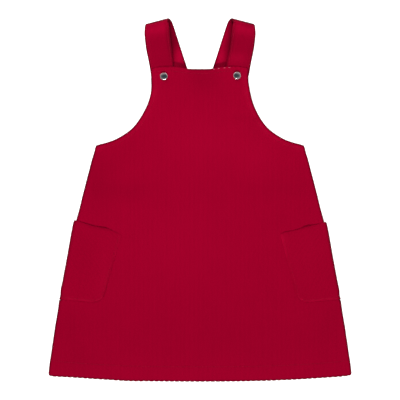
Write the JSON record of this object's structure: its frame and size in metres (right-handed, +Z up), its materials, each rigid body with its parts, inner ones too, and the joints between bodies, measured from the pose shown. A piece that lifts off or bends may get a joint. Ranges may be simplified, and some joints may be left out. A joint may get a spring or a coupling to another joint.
{
  "type": "pinafore dress",
  "caption": "Child's A-line pinafore dress in red needlecord, laid flat, with a square bib, snapped straps folded over at the shoulders and patch pockets wrapped round the side seams.",
  "frame": {"origin": "on the surface the dress lies on, under the middle of its box", "axes": "+Y from the hem to the straps, +X to the right as the front is seen, +Z up from the surface"},
  "size_m": [0.364, 0.4352, 0.011],
  "materials": {
    "needlecord_front": "red cotton needlecord, ribs running up the garment",
    "needlecord_back": "red cotton needlecord, ribs running up the garment",
    "needlecord_strap": "red cotton needlecord, double, ribs along the strap",
    "needlecord_pocket": "red cotton needlecord, ribs running down the pocket",
    "snap_nickel": "polished nickel plate on stamped brass"
  },
  "bodies": {
    "root": {"front_panel": "needlecord_front", "back_panel": "needlecord_back", "strap_left": "needlecord_strap", "strap_right": "needlecord_strap", "pocket_left": "needlecord_pocket", "pocket_right": "needlecord_pocket", "snap_cap_left": "snap_nickel", "snap_cap_right": "snap_nickel", "snap_stud_left": "snap_nickel", "snap_stud_right": "snap_nickel"}
  },
  "joints": []
}
